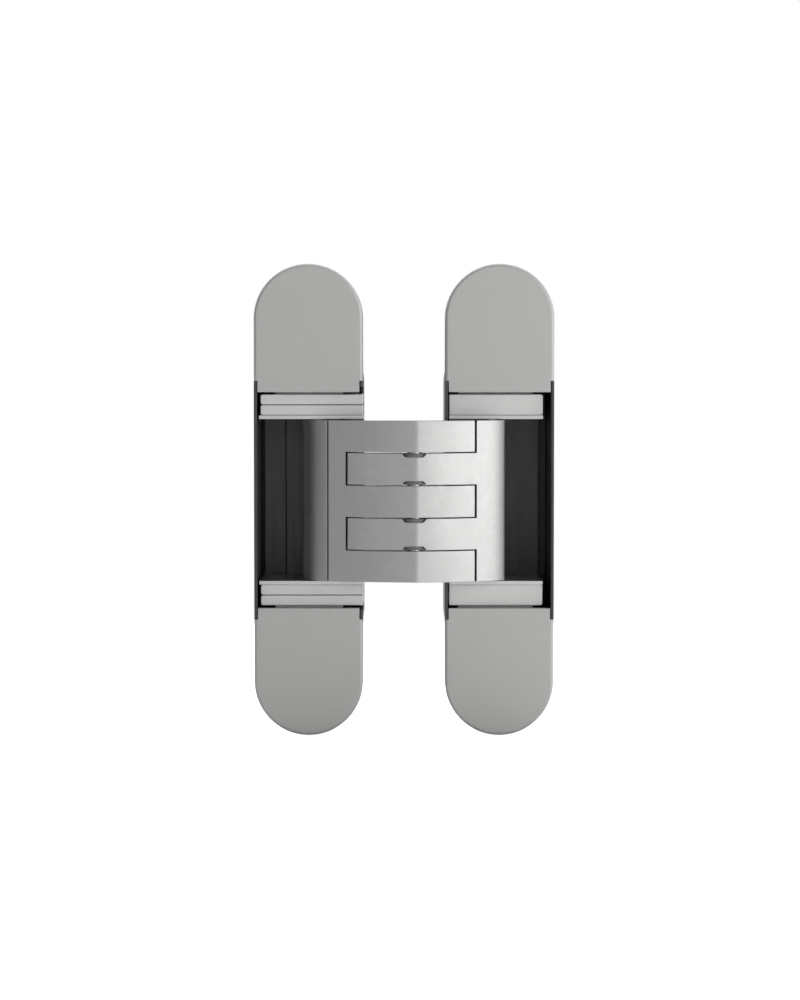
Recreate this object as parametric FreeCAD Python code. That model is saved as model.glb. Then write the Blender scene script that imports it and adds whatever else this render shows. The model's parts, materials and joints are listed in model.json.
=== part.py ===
"""Concealed door hinge, shown open flat at 180 degrees.

A frame body and a door body are let into the wood, flush with its face. Two arms with
interleaved fingers cross on a centre pin. Each arm turns on a fixed pin in one body and
slides in a curved track in the other, so the door swings clear and folds the arms away.

X runs across the hinge, Y into the wood and Z up. The origin is the middle of the frame
body in its face plane. The frame body is on the left, seen from the front.
"""
import FreeCAD, Part
import math
import os

V = FreeCAD.Vector

# Both bodies
BODY_LENGTH = 130.0
BODY_WIDTH = 30.0
BODY_GAP = 22.6            # between the bodies with the hinge open
CLOSED_GAP = 4.0           # face to face with the door shut
WALL = 0.8                 # side wall beside the arms
RIM = 1.4                  # wall round the screw recess
FLANGE_DEPTH = 8.2         # shallow mortise
FLANGE_REACH = 18.0        # it is longer than the deep one by this at each end
BOX_DEPTH = 35.3           # deep mortise
BOX_END = 15.8             # metal between the pocket and the deep box's end
FLOOR = 1.5                # back wall of the deep box
BACK_ROUND = 2.0
RECESS_DEPTH = 4.6         # screw recess under a cover
WINDOW_DEPTH = 16.0        # cut in the frame body's inner wall, where the arms cross it
CORE_INSET = 6.0           # hollow cast into the back of each end, inside the body's sides
CORE_DEPTH = 10.3
CORE_WALL = 3.5

# Cover caps
COVER_THICKNESS = 2.0
COVER_SEAT_GAP = 0.1
COVER_STEP = 1.7           # the full width ends this far from the pocket
TONGUE_GAP = 0.6           # between the tongue's end and the blocks
TONGUE_INSET = 1.0         # the tongue is narrower than the body by this at each side
COVER_EDGE_ROUND = 0.9
SKIRT_SETBACK = 1.0
SKIRT_THICKNESS = 1.0
SKIRT_GAP = 0.15
PEG_RADIUS = 1.5
PEG_LENGTH = 4.4
PEG_FROM_BOX = 2.6         # inner peg beyond the deep box's end
PEG_FROM_END = 5.5         # outer peg inside the body's end
PEG_FIT = 0.05

# Fixing screws of the installer
FIX_HOLE_RADIUS = 2.4
FIX_HEAD_RADIUS = 4.4
FIX_SPACING_X = 14.0
FIX_FROM_END = 13.0        # their row inside the body's end

# Stack from the ends in to the arms
FINGERS = 5
FINGER_GAP = 0.26          # between neighbouring fingers
POCKET_GAP = 2.0           # between the blocks and the pocket's ends, for the height travel
ARM_END_GAP = 0.2
TRACK_GAP = 0.05
TRACK_THICKNESS = 1.05
CHEEK_THICKNESS = 2.85
SLIDE_GAP = 0.1            # between faces that slide on each other
OVERRUN = 1.0              # a cut runs past an open face by this
EDGE_TOLERANCE = 0.01      # for picking edges by their place
BRACKET_THICKNESS = 2.85

# Blocks between the covers
BLOCK_FACE = 2.3           # depth of their front faces
TRACK_FACE = 2.0
BLOCK_ROUND = 0.65
WEB_THICKNESS = 1.5
WEB_BACK_GAP = 1.9         # between the back webs and the deep box's back wall
FRAME_BLOCK_INSET = 1.7    # blocks inside the outer side of the frame body
DOOR_INNER_INSET = 1.1     # blocks inside the inner and outer side of the door body
DOOR_OUTER_INSET = 3.0
TRACK_OVERHANG = 0.4
BLOCK_STEP_GAP = 1.3       # room above the low part of the frame body's inner wall
INNER_GAP = 0.3            # between a block and the wall beside it
BRACKET_WEB_WIDTH = 5.95   # up to the middle of the seam with the carrier's web
WEB_SEAM_GAP = 0.3
WEB_MARGIN = 1.1
WEB_ROUND = 1.2
WEB_ROOM = 0.5             # left between a moved block and the bracket's web

# Adjustment travel
HEIGHT_TRAVEL = 1.5        # each way
SIDE_TRAVEL = 1.0          # each way
PRESSURE_TRAVEL = 2.0      # one way

# Clamped ears under the covers
EAR_THICKNESS = 2.2
EAR_FACE = 4.7
EAR_GAP = 0.1              # under an ear
EAR_SIDE_GAP = 0.5
EAR_ROUND = 2.0
CLAMP_X = 5.8
FRAME_CLAMP_REACH = 8.2    # clamping screws beyond the pocket's end
DOOR_CLAMP_REACH = 6.2
CLAMP_RADIUS = 1.9
CLAMP_LENGTH = 13.0
CLAMP_HEAD_RADIUS = 3.3
HEAD_HEIGHT = 1.9
HEAD_CHAMFER = 0.3
CLAMP_HOLE_GAP = 0.2
EAR_MARGIN = 1.5           # metal round a slot
SOCKET_FLATS = 2.5
SOCKET_DEPTH = 1.2

# Side adjusting screws
JACK_REACH = 2.2           # beyond the pocket's end
JACK_RADIUS = 1.9
JACK_HEAD_RADIUS = 3.0
JACK_END = 22.0
JACK_FIT = 0.1
NUT_FACE = 13.0            # front of the threaded lug on a cheek
NUT_DEPTH = 5.0
NUT_WIDTH = 5.8
NUT_MARGIN = 1.3
CLIP_RADIUS = 2.9
CLIP_THICKNESS = 0.6
CLIP_GROOVE = 0.4          # depth of its groove in the screw
CLIP_MOUTH = 2.6           # width of its open side
WELL_GAP = 0.8

# Linkage in plan with the hinge open, as (X, Y): X runs to the right from the inner face
# of a body or from halfway between both bodies, and Y runs into the wood.
PIVOT_FROM_FRAME = (-3.7, 11.0)
PIVOT_FROM_DOOR = (5.1, 11.0)
CENTRE_FROM_MIDDLE = (2.9, -4.2)
SLIDER_FROM_FRAME = (-12.7, 7.0)
SLIDER_FROM_DOOR = (12.6, 7.0)
EYE_RADIUS = 3.0
PIN_RADIUS = 2.0
PIN_CHAMFER = 0.3
PIN_SETBACK = 0.35         # the pins end under the top of their slots by this
PRESS_GAP = 0.02           # pin in a hole that grips it
RUN_GAP = 0.06             # pin in a hole that turns on it
FRAME_BARREL_RADIUS = 4.2
DOOR_BARREL_RADIUS = 4.0
BUSH_RADIUS = 2.6
SLOT_GAP = 0.25
SLIDER_BUSH_SETBACK = 0.1
SPACER_RADIUS = 2.8
PIN_END_GAP = 0.3
SLOT_STEPS = 12

# Outer face of the arms: facet corners from left to right, placed in the same way
LEFT_FROM_FRAME = (-9.5, -1.9)
RISE_FROM_FRAME = (2.4, -5.9)
RIDGE_FROM_MIDDLE = (3.4, -7.9)
FALL_FROM_DOOR = (1.9, -6.3)
RIGHT_FROM_DOOR = (8.1, -3.9)
RIDGE_ROUND = 4.0
EDGE_ROUND = 0.25
UNDERSIDE = -1.1           # inner face, clear of the wood's corners
TIP_GAP = 0.5              # between a finger's tip and the other arm
ROOT_LAP = 0.5             # a finger's root runs into its base by this
WINDOW_INSET = 4.7         # the frame end's full height stops inside the body's inner face
WINDOW_ROUND = 0.6
NECK_ROUND = 1.0
HEEL_START = 1.1           # the heel curves away this far beyond the last facet's corner
HEEL_TURN = 45.0           # degrees by which it has turned where its tight corner begins
HEEL_CORNER = 1.6

# Arm A's base and tails, inside the outer face
BASE_SETBACK = 1.4         # its side slopes back under the window's edge
BASE_SLOPE_DEPTH = 2.3
BASE_ROUND = 1.5
BASE_FOOT_RIGHT = 1.2      # below the slider's centre
BASE_FOOT_LEFT = -3.3
BASE_EDGE_DEPTH = 4.5      # straight outer edge under the face
CUFF_GAP = 0.3             # the cuff round the slider starts beside the face and below it
CUFF_STEP = 0.6
CUFF_GROOVE = 1.2          # depth of the groove between them
CUFF_TILT = 22.0           # degrees by which it leans away from straight out there
CUFF_LAP = 0.5
CUFF_END = 1.2             # it ends this far in from its outer side
TAIL_FLARE = 1.4           # a tail widens by this at the underside
TAIL_FLARE_LOW = 0.4
TAIL_FLARE_DEPTH = 2.6
TAIL_ROUND = 0.8

# Arm B's underside and tails
FLAT_FROM_FRAME = 0.1      # ends of the underside's flat run
FLAT_FROM_DOOR = 1.1
ROOT_DEPTH = 6.0           # the root of its fingers on the heel
TAIL_SHOULDER = 0.2        # the tail is this much narrower than its eye
TAIL_SHOULDER_DEPTH = 1.3
TIP_DEPTH = 0.5            # where a tip's end slopes back to the eye
TIP_ROUND = 1.5
CENTRE_BUSH_RADIUS = 2.6
WASHER_RADIUS = 3.6
WASHER_THICKNESS = 1.0
WASHER_GAP = 0.05
RECESS_MOUTH_RADIUS = 4.6
RECESS_FLOOR_RADIUS = 4.1


def placed(face, point):
    """A plan point measured from a place on X."""
    return face + point[0], point[1]


# Worked out from the sizes above: heights, as distances from the middle
BODY_END = BODY_LENGTH / 2
BOX_TOP = BODY_END - FLANGE_REACH
POCKET_HALF = BOX_TOP - BOX_END
BLOCK_TOP_Z = POCKET_HALF - POCKET_GAP
BRACKET_Z = BLOCK_TOP_Z - BRACKET_THICKNESS
SLOT_TOP = BRACKET_Z - SLIDE_GAP
CHEEK_Z = SLOT_TOP - CHEEK_THICKNESS
TRACK_Z = CHEEK_Z - TRACK_THICKNESS
STACK_HALF = TRACK_Z - TRACK_GAP
FINGER_PITCH = 2 * STACK_HALF / FINGERS
ARM_HALF = STACK_HALF - ARM_END_GAP
PIN_HALF = SLOT_TOP - PIN_SETBACK
PIN_HOLE_TOP = PIN_HALF + PIN_END_GAP
COVER_STEP_Z = POCKET_HALF + COVER_STEP
COVER_END_Z = BLOCK_TOP_Z + TONGUE_GAP
PEG_Z = (BOX_TOP + PEG_FROM_BOX, BODY_END - PEG_FROM_END)
FIX_Z = BODY_END - FIX_FROM_END
FRAME_CLAMP_Z = POCKET_HALF + FRAME_CLAMP_REACH
DOOR_CLAMP_Z = POCKET_HALF + DOOR_CLAMP_REACH
JACK_Z = POCKET_HALF + JACK_REACH

# Across: the frame body's centre line is at zero
HALF_WIDTH = BODY_WIDTH / 2
FRAME_FACE = HALF_WIDTH
DOOR_FACE = FRAME_FACE + BODY_GAP
BODY_PITCH = DOOR_FACE + HALF_WIDTH
MIDDLE_X = BODY_PITCH / 2
INNER_WALL = HALF_WIDTH - WALL
FRAME_BLOCK_LEFT = FRAME_BLOCK_INSET - HALF_WIDTH
WEB_SEAM_X = FRAME_BLOCK_LEFT + BRACKET_WEB_WIDTH
DOOR_BLOCK_LEFT = DOOR_FACE + DOOR_INNER_INSET
DOOR_BLOCK_RIGHT = BODY_PITCH + HALF_WIDTH - DOOR_OUTER_INSET
CLAMP_HOLE_RADIUS = CLAMP_RADIUS + CLAMP_HOLE_GAP
EAR_HALF = CLAMP_X + CLAMP_HOLE_RADIUS + EAR_MARGIN
WINDOW_X = FRAME_FACE - WINDOW_INSET
FRAME_PIVOT = placed(FRAME_FACE, PIVOT_FROM_FRAME)
DOOR_PIVOT = placed(DOOR_FACE, PIVOT_FROM_DOOR)
CENTRE = placed(MIDDLE_X, CENTRE_FROM_MIDDLE)
FRAME_SLIDER = placed(FRAME_FACE, SLIDER_FROM_FRAME)
DOOR_SLIDER = placed(DOOR_FACE, SLIDER_FROM_DOOR)
FACE_LEFT = placed(FRAME_FACE, LEFT_FROM_FRAME)
FACE_RISE = placed(FRAME_FACE, RISE_FROM_FRAME)
FACE_RIDGE = placed(MIDDLE_X, RIDGE_FROM_MIDDLE)
FACE_FALL = placed(DOOR_FACE, FALL_FROM_DOOR)
FACE_RIGHT = placed(DOOR_FACE, RIGHT_FROM_DOOR)
HEEL_X = FACE_RIGHT[0] + HEEL_START

# Into the wood
CHEEK_BACK = BOX_DEPTH - FLOOR - WEB_BACK_GAP - WEB_THICKNESS
EAR_BACK = EAR_FACE + EAR_THICKNESS
EAR_FLOOR = EAR_BACK + EAR_GAP
HEAD_FAR = EAR_FACE - SLIDE_GAP


def plan(x, y):
    return V(x, y, 0)


def front(x, z):
    return V(x, 0, z)


def outline(corners, place):
    """Closed face through corners (u, v, radius), each corner rounded by a tangent arc."""
    count = len(corners)
    points = [place(u, v) for u, v, radius in corners]
    stops = []
    for i, (u, v, radius) in enumerate(corners):
        here = points[i]
        if not radius:
            stops.append((here, None, here))
            continue
        back = (points[i - 1] - here).normalize()
        ahead = (points[(i + 1) % count] - here).normalize()
        half = back.getAngle(ahead) / 2
        reach = radius / math.tan(half)
        bisector = (back + ahead).normalize()
        middle = here + bisector * (radius / math.sin(half) - radius)
        stops.append((here + back * reach, middle, here + ahead * reach))
    edges = []
    for i, (start, middle, end) in enumerate(stops):
        if middle:
            edges.append(Part.Arc(start, middle, end).toShape())
        following = stops[(i + 1) % count][0]
        if (following - end).Length > 1e-6:
            edges.append(Part.LineSegment(end, following).toShape())
    return Part.Face(Part.Wire(edges))


def prism_z(face, low, high):
    solid = face.extrude(V(0, 0, high - low))
    solid.translate(V(0, 0, low))
    return solid


def prism_y(face, near, far):
    solid = face.extrude(V(0, far - near, 0))
    solid.translate(V(0, near, 0))
    return solid


def box(x0, x1, y0, y1, z0, z1):
    return Part.makeBox(x1 - x0, y1 - y0, z1 - z0, V(x0, y0, z0))


def rod_z(point, radius, low, high):
    return Part.makeCylinder(radius, high - low, V(point[0], point[1], low), V(0, 0, 1))


def rod_y(x, z, radius, near, far):
    return Part.makeCylinder(radius, far - near, V(x, near, z), V(0, 1, 0))


def bar(x0, x1, z0, z1, near, far, left_round, right_round):
    """Bar along Y whose ends are rounded in the front view."""
    corners = [(x0, z0, left_round), (x1, z0, right_round), (x1, z1, right_round), (x0, z1, left_round)]
    return prism_y(outline(corners, front), near, far)


def stadium(x, half_length, radius, near, far):
    """Slab with two half-round ends, standing along Z."""
    middle = half_length - radius
    top = Part.Arc(V(x + radius, near, middle), V(x, near, half_length), V(x - radius, near, middle))
    foot = Part.Arc(V(x - radius, near, -middle), V(x, near, -half_length), V(x + radius, near, -middle))
    left = Part.LineSegment(V(x - radius, near, middle), V(x - radius, near, -middle))
    right = Part.LineSegment(V(x + radius, near, -middle), V(x + radius, near, middle))
    wire = Part.Wire([top.toShape(), left.toShape(), foot.toShape(), right.toShape()])
    return Part.Face(wire).extrude(V(0, far - near, 0))


def slot_y(x, z, radius, travel_x, travel_z, near, far):
    """Hole along Y, drawn out from (x, z) by a signed travel in X or both ways in Z."""
    hole = rod_y(x, z, radius, near, far)
    if travel_x:
        other = rod_y(x + travel_x, z, radius, near, far)
        low, high = sorted((x, x + travel_x))
        return hole.fuse([other, box(low, high, near, far, z - radius, z + radius)]).removeSplitter()
    ends = [rod_y(x, z + side * travel_z, radius, near, far) for side in (-1, 1)]
    middle = box(x - radius, x + radius, near, far, z - travel_z, z + travel_z)
    return middle.fuse(ends).removeSplitter()


def mirror_z(shape):
    return shape.mirror(V(0, 0, 0), V(0, 0, 1))


def both_ends(*shapes):
    """Shapes at the top end, each with its mirror image at the bottom end."""
    return [end for shape in shapes for end in (shape, mirror_z(shape))]


def round_edges(shape, radius, wanted):
    edges = [edge for edge in shape.Edges if wanted(edge.BoundBox)]
    return shape.makeFillet(radius, edges)


def bevel_edges(shape, size, wanted):
    edges = [edge for edge in shape.Edges if wanted(edge.BoundBox)]
    return shape.makeChamfer(size, edges)


def pin(point, half):
    """Pin along Z with bevelled ends."""
    rod = rod_z(point, PIN_RADIUS, -half, half)
    return bevel_edges(rod, PIN_CHAMFER, lambda b: b.ZLength < EDGE_TOLERANCE)


# Linkage


def turned(point, about, degrees):
    """A plan point turned clockwise, seen from above, about another."""
    angle = math.radians(-degrees)
    dx, dy = point[0] - about[0], point[1] - about[1]
    return (
        about[0] + dx * math.cos(angle) - dy * math.sin(angle),
        about[1] + dx * math.sin(angle) + dy * math.cos(angle),
    )


def bearing(point, about):
    return math.degrees(math.atan2(point[1] - about[1], point[0] - about[0]))


def closed_centre():
    """Where the centre pin lies with the door shut: its distances to both fixed pins are kept."""
    shut_pivot = (BODY_PITCH - DOOR_PIVOT[0], -CLOSED_GAP - DOOR_PIVOT[1])
    reach_frame = math.dist(CENTRE, FRAME_PIVOT)
    reach_door = math.dist(CENTRE, DOOR_PIVOT)
    span = math.dist(FRAME_PIVOT, shut_pivot)
    along = (reach_frame ** 2 - reach_door ** 2 + span ** 2) / (2 * span)
    off = math.sqrt(reach_frame ** 2 - along ** 2)
    ux = (shut_pivot[0] - FRAME_PIVOT[0]) / span
    uy = (shut_pivot[1] - FRAME_PIVOT[1]) / span
    centre = (FRAME_PIVOT[0] + along * ux + off * uy, FRAME_PIVOT[1] + along * uy - off * ux)
    return centre, shut_pivot


SHUT_CENTRE, SHUT_DOOR_PIVOT = closed_centre()
ARM_B_TURN = bearing(CENTRE, FRAME_PIVOT) - bearing(SHUT_CENTRE, FRAME_PIVOT)
ARM_A_TURN = bearing(DOOR_PIVOT, CENTRE) - bearing(SHUT_DOOR_PIVOT, SHUT_CENTRE)
DOOR_TURN = 180.0


def frame_slider_at(share):
    """Arm A's slider in the frame body, at a share of the swing."""
    centre = turned(CENTRE, FRAME_PIVOT, ARM_B_TURN * share)
    moved = (FRAME_SLIDER[0] + centre[0] - CENTRE[0], FRAME_SLIDER[1] + centre[1] - CENTRE[1])
    return turned(moved, centre, ARM_A_TURN * share)


def door_slider_at(share):
    """Arm B's slider in the door body, at a share of the swing."""
    slider = turned(DOOR_SLIDER, FRAME_PIVOT, ARM_B_TURN * share)
    centre = turned(CENTRE, FRAME_PIVOT, ARM_B_TURN * share)
    moved = (DOOR_PIVOT[0] + centre[0] - CENTRE[0], DOOR_PIVOT[1] + centre[1] - CENTRE[1])
    pivot = turned(moved, centre, ARM_A_TURN * share)
    back = (slider[0] - pivot[0] + DOOR_PIVOT[0], slider[1] - pivot[1] + DOOR_PIVOT[1])
    return turned(back, DOOR_PIVOT, -DOOR_TURN * share)


def track_slot(path, low, high):
    """Curved slot that a slider bush follows, along the path of its centre."""
    half_width = BUSH_RADIUS + SLOT_GAP
    points = [path(i / SLOT_STEPS) for i in range(SLOT_STEPS + 1)]
    curve = Part.BSplineCurve()
    curve.interpolate([plan(*point) for point in points])
    sides = {1: [], -1: []}
    tangents = []
    for i in range(SLOT_STEPS + 1):
        here = plan(*points[i])
        tangent = curve.tangent(curve.parameter(here))[0].normalize()
        tangents.append(tangent)
        for side in sides:
            sides[side].append(here + V(-tangent.y, tangent.x, 0) * half_width * side)
    edges = []
    for side in sides:
        line = Part.BSplineCurve()
        line.interpolate(sides[side])
        edges.append(line.toShape())
    first, last = plan(*points[0]), plan(*points[-1])
    edges.insert(1, Part.Arc(sides[1][-1], last + tangents[-1] * half_width, sides[-1][-1]).toShape())
    edges.append(Part.Arc(sides[-1][0], first - tangents[0] * half_width, sides[1][0]).toShape())
    return prism_z(Part.Face(Part.Wire(edges)), low, high)


# Arms


def face_depth(x):
    """Depth of the arms' outer face at a place across it, carried on past its last corner."""
    corners = [FACE_LEFT, FACE_RISE, FACE_RIDGE, FACE_FALL, FACE_RIGHT]
    for start, end in zip(corners, corners[1:]):
        if x <= end[0]:
            break
    return start[1] + (end[1] - start[1]) * (x - start[0]) / (end[0] - start[0])


def bulge(centre, radius, first, last):
    """Arc of an outer face that leans from one angle to another, 0 being straight out of the wood."""
    points = []
    for lean in (first, (first + last) / 2, last):
        angle = math.radians(lean)
        points.append(plan(centre[0] + radius * math.sin(angle), centre[1] - radius * math.cos(angle)))
    return Part.Arc(*points).toShape()


def chain(points):
    """Straight edges from point to point."""
    return [Part.LineSegment(a, b).toShape() for a, b in zip(points, points[1:])]


def rim(point, radius, below):
    """Point on the right side of a circle, so far below its centre."""
    return point[0] + math.sqrt(radius ** 2 - below ** 2), point[1] + below


def finger_rows(first):
    """Heights (low, high) of every second finger, counted from the top."""
    rows = []
    for i in range(first, FINGERS, 2):
        top = STACK_HALF - i * FINGER_PITCH
        high = ARM_HALF if i == 0 else top - FINGER_GAP / 2
        low = -ARM_HALF if i == FINGERS - 1 else top - FINGER_PITCH + FINGER_GAP / 2
        rows.append((low, high))
    return rows


ROWS_A = finger_rows(0)
ROWS_B = finger_rows(1)


def arm_a_cuff():
    """Curved cover over arm A's slider, which sweeps from beside the face back into the pocket."""
    left = FRAME_SLIDER[0] - FRAME_BARREL_RADIUS
    start = plan(FACE_LEFT[0] - CUFF_GAP, FACE_LEFT[1] + CUFF_STEP)
    tilt = math.radians(CUFF_TILT)
    radius = (start.x - left) / (1 - math.sin(tilt))
    centre = (left + radius, start.y + radius * math.cos(tilt))
    far_x = left + CUFF_END
    far_y = FRAME_SLIDER[1] + math.sqrt(FRAME_BARREL_RADIUS ** 2 - (FRAME_SLIDER[0] - far_x) ** 2)
    inside, groove = FACE_LEFT[0] + CUFF_LAP, start.y + CUFF_GROOVE
    points = [start, plan(start.x, groove), plan(inside, groove), plan(inside, FRAME_SLIDER[1])]
    points += [plan(*FRAME_SLIDER), plan(far_x, far_y), plan(left, centre[1])]
    edges = chain(points) + [bulge(centre, radius, -90, -CUFF_TILT)]
    return prism_z(Part.Face(Part.Wire(edges)), -ARM_HALF, ARM_HALF)


def arm_a_base():
    """Full-height frame end of arm A: the slider barrel, its cuff and the web up to the window."""
    corners = [
        (FACE_LEFT[0], FACE_LEFT[1], EDGE_ROUND),
        (WINDOW_X, face_depth(WINDOW_X), 0),
        (WINDOW_X, UNDERSIDE, WINDOW_ROUND),
        (WINDOW_X - BASE_SETBACK, UNDERSIDE + BASE_SLOPE_DEPTH, BASE_ROUND),
        (*rim(FRAME_SLIDER, FRAME_BARREL_RADIUS, BASE_FOOT_RIGHT), 0),
        (*FRAME_SLIDER, 0),
        (*rim(FRAME_SLIDER, FRAME_BARREL_RADIUS, BASE_FOOT_LEFT), 0),
        (FACE_LEFT[0], FACE_LEFT[1] + BASE_EDGE_DEPTH, 0),
    ]
    web = prism_z(outline(corners, plan), -ARM_HALF, ARM_HALF)
    return web.fuse([arm_a_cuff(), rod_z(FRAME_SLIDER, FRAME_BARREL_RADIUS, -ARM_HALF, ARM_HALF)])


def arm_a_finger(low, high):
    """Faceted finger of arm A with the tail that drops to the door body's pin."""
    px, py = DOOR_PIVOT
    inner = px - EYE_RADIUS
    root_x = WINDOW_X - ROOT_LAP
    corners = [
        (root_x, face_depth(root_x), 0),
        (*FACE_RISE, 0),
        (*FACE_RIDGE, RIDGE_ROUND),
        (*FACE_FALL, 0),
        (*FACE_RIGHT, EDGE_ROUND),
        (px + EYE_RADIUS, py, 0),
        (inner, py, 0),
        (inner - TAIL_FLARE_LOW, UNDERSIDE + TAIL_FLARE_DEPTH, TAIL_ROUND),
        (inner - TAIL_FLARE, UNDERSIDE, NECK_ROUND),
        (root_x, UNDERSIDE, 0),
    ]
    finger = prism_z(outline(corners, plan), low, high)
    return finger.fuse(rod_z(DOOR_PIVOT, EYE_RADIUS, low, high))


def arm_a():
    arm = arm_a_base().fuse([arm_a_finger(low, high) for low, high in ROWS_A])
    bores = [
        rod_z(FRAME_SLIDER, PIN_RADIUS + PRESS_GAP, -STACK_HALF, STACK_HALF),
        rod_z(CENTRE, PIN_RADIUS + PRESS_GAP, -STACK_HALF, STACK_HALF),
        rod_z(DOOR_PIVOT, PIN_RADIUS + RUN_GAP, -STACK_HALF, STACK_HALF),
    ]
    return arm.cut(bores).removeSplitter()


def arm_b_base():
    """Full-height door end of arm B: a heel that runs from the last facet round to the slider barrel."""
    sx, sy = DOOR_SLIDER
    right = sx + DOOR_BARREL_RADIUS
    tilt = math.atan2(FACE_RIGHT[1] - FACE_FALL[1], FACE_RIGHT[0] - FACE_FALL[0])
    turn = math.radians(HEEL_TURN)
    corner_x = right - HEEL_CORNER
    radius = (corner_x + HEEL_CORNER * math.sin(turn) - HEEL_X) / (math.sin(turn) - math.sin(tilt))
    centre = (HEEL_X - radius * math.sin(tilt), face_depth(HEEL_X) + radius * math.cos(tilt))
    corner_y = centre[1] - (radius - HEEL_CORNER) * math.cos(turn)
    face = bulge(centre, radius, math.degrees(tilt), HEEL_TURN)
    corner = bulge((corner_x, corner_y), HEEL_CORNER, HEEL_TURN, 90)
    edge_x = FACE_RIGHT[0] + TIP_GAP
    points = [plan(right, corner_y), plan(right, sy), plan(sx, sy), plan(sx - DOOR_BARREL_RADIUS, sy)]
    points += [plan(edge_x, face_depth(edge_x)), plan(HEEL_X, face_depth(HEEL_X))]
    heel = prism_z(Part.Face(Part.Wire([face, corner] + chain(points))), -ARM_HALF, ARM_HALF)
    return heel.fuse(rod_z(DOOR_SLIDER, DOOR_BARREL_RADIUS, -ARM_HALF, ARM_HALF))


def arm_b_finger(low, high):
    """Faceted finger of arm B with the tail that drops to the frame body's pin."""
    px, py = FRAME_PIVOT
    tip_x = WINDOW_X + TIP_GAP
    root_x = FACE_RIGHT[0] + TIP_GAP + ROOT_LAP
    corners = [
        (root_x, face_depth(root_x), 0),
        (root_x, ROOT_DEPTH, 0),
        (DOOR_FACE + FLAT_FROM_DOOR, UNDERSIDE, NECK_ROUND),
        (FRAME_FACE + FLAT_FROM_FRAME, UNDERSIDE, NECK_ROUND),
        (px + EYE_RADIUS - TAIL_SHOULDER, UNDERSIDE + TAIL_SHOULDER_DEPTH, NECK_ROUND),
        (px + EYE_RADIUS, py, 0),
        (px - EYE_RADIUS, py, 0),
        (tip_x, TIP_DEPTH, TIP_ROUND),
        (tip_x, face_depth(tip_x), EDGE_ROUND),
        (*FACE_RISE, 0),
        (*FACE_RIDGE, RIDGE_ROUND),
        (*FACE_FALL, 0),
    ]
    finger = prism_z(outline(corners, plan), low, high)
    return finger.fuse(rod_z(FRAME_PIVOT, EYE_RADIUS, low, high))


def washer_recess(face_z, inward):
    """Recess for a thrust washer in a finger's side, flared at its mouth."""
    depth = WASHER_THICKNESS + WASHER_GAP
    return Part.makeCone(
        RECESS_MOUTH_RADIUS, RECESS_FLOOR_RADIUS, depth, V(CENTRE[0], CENTRE[1], face_z), V(0, 0, inward)
    )


def arm_b():
    arm = arm_b_base().fuse([arm_b_finger(low, high) for low, high in ROWS_B])
    bores = [
        rod_z(DOOR_SLIDER, PIN_RADIUS + PRESS_GAP, -STACK_HALF, STACK_HALF),
        rod_z(CENTRE, CENTRE_BUSH_RADIUS, -STACK_HALF, STACK_HALF),
        rod_z(FRAME_PIVOT, PIN_RADIUS + RUN_GAP, -STACK_HALF, STACK_HALF),
    ]
    for low, high in ROWS_B:
        bores += [washer_recess(low, 1), washer_recess(high, -1)]
    return arm.cut(bores).removeSplitter()


def tube_z(point, outer, inner, low, high):
    return rod_z(point, outer, low, high).cut(rod_z(point, inner, low, high))


def tube_y(x, z, outer, inner, near, far):
    return rod_y(x, z, outer, near, far).cut(rod_y(x, z, inner, near, far))


def thrust_washers():
    washers = []
    for low, high in ROWS_B:
        for z0 in (low + WASHER_GAP, high - WASHER_GAP - WASHER_THICKNESS):
            z1 = z0 + WASHER_THICKNESS
            washers.append(tube_z(CENTRE, WASHER_RADIUS, PIN_RADIUS + RUN_GAP, z0, z1))
    return washers


def centre_bushes():
    depth = WASHER_THICKNESS + 2 * WASHER_GAP
    return [
        tube_z(CENTRE, CENTRE_BUSH_RADIUS, PIN_RADIUS + RUN_GAP, low + depth, high - depth)
        for low, high in ROWS_B
    ]


def spacers(point, rows):
    """Tubes on a fixed pin that keep the other arm's eyes apart."""
    return [tube_z(point, SPACER_RADIUS, PIN_RADIUS + PRESS_GAP, low, high) for low, high in rows]


def slider_bushes(point):
    low, high = TRACK_Z + TRACK_GAP, PIN_HALF - SLIDER_BUSH_SETBACK
    return both_ends(tube_z(point, BUSH_RADIUS, PIN_RADIUS + PRESS_GAP, low, high))


# Blocks, tracks and webs


def stepped_bar(right, low, high, back):
    """Bar of the frame body: full width over the cut wall, narrower beside the wall."""
    step = WINDOW_DEPTH - BLOCK_STEP_GAP
    wide = bar(FRAME_BLOCK_LEFT, right, low, high, BLOCK_FACE, step, BLOCK_ROUND, 0)
    deep = bar(FRAME_BLOCK_LEFT, INNER_WALL - INNER_GAP, low, high, step, back, BLOCK_ROUND, 0)
    return wide.fuse(deep).removeSplitter()


def bracket_web_room(low, high):
    """Cut that keeps a block of the carrier clear of the bracket's web."""
    left, right = FRAME_BLOCK_LEFT - TRACK_OVERHANG, WEB_SEAM_X + WEB_SEAM_GAP / 2
    return box(left, right, CHEEK_BACK - SIDE_TRAVEL - WEB_ROOM, CHEEK_BACK, low, high)


def frame_track():
    left = FRAME_BLOCK_LEFT - TRACK_OVERHANG
    step = WINDOW_DEPTH - BLOCK_STEP_GAP
    wide = box(left, FRAME_FACE, TRACK_FACE, step, TRACK_Z, CHEEK_Z)
    deep = box(left, INNER_WALL - INNER_GAP, step, CHEEK_BACK, TRACK_Z, CHEEK_Z)
    plate = wide.fuse(deep).removeSplitter()
    holes = [
        bracket_web_room(TRACK_Z, CHEEK_Z),
        track_slot(frame_slider_at, TRACK_Z, CHEEK_Z),
        rod_z(FRAME_PIVOT, PIN_RADIUS + PRESS_GAP, TRACK_Z, CHEEK_Z),
    ]
    return plate.cut(holes)


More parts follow.
